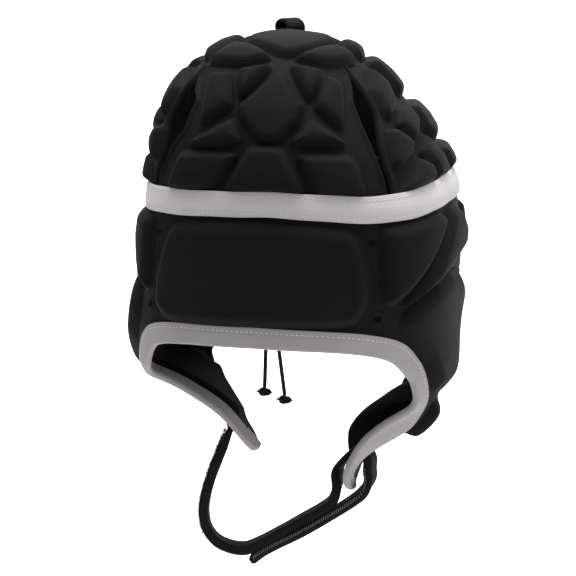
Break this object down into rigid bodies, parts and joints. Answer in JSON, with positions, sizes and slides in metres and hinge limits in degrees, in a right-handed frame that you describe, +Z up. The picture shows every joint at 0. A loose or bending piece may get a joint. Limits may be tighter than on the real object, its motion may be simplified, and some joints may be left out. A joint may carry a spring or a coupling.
{
  "type": "soccer head guard",
  "caption": "Padded soccer head guard: moulded foam crown with vent slits, padded shell with ear flaps, grey tape and binding, hook-and-loop chin strap and back lace.",
  "frame": {"origin": "the crown's inner top, where it sits on the head", "axes": "+Z up as worn, -Y towards the wearer's front, +X to the right as seen from the front"},
  "size_m": [0.1895, 0.189, 0.3115],
  "materials": {
    "ribbed_fabric": "fine ribbed knit over moulded foam, matte black",
    "smooth_fabric": "smooth matte black knit over foam",
    "grey_tape": "warm light grey woven tape with stitching",
    "strap_webbing": "black hook-and-loop webbing with a fuzzy pile",
    "lace_cord": "black braided cord"
  },
  "bodies": {
    "root": {"crown_front": "ribbed_fabric", "crown_left": "ribbed_fabric", "crown_right": "ribbed_fabric", "crown_back": "ribbed_fabric", "crown_top": "ribbed_fabric", "crown_loop": "ribbed_fabric", "lower_shell": "smooth_fabric", "head_tape": "grey_tape", "brow_binding": "grey_tape", "nape_binding_left": "grey_tape", "nape_binding_right": "grey_tape", "chin_strap": "strap_webbing", "back_lace": "lace_cord", "lace_tie": "lace_cord", "lace_tail_left": "lace_cord", "lace_tail_right": "lace_cord", "lace_knot_left": "lace_cord", "lace_knot_right": "lace_cord"}
  },
  "joints": []
}
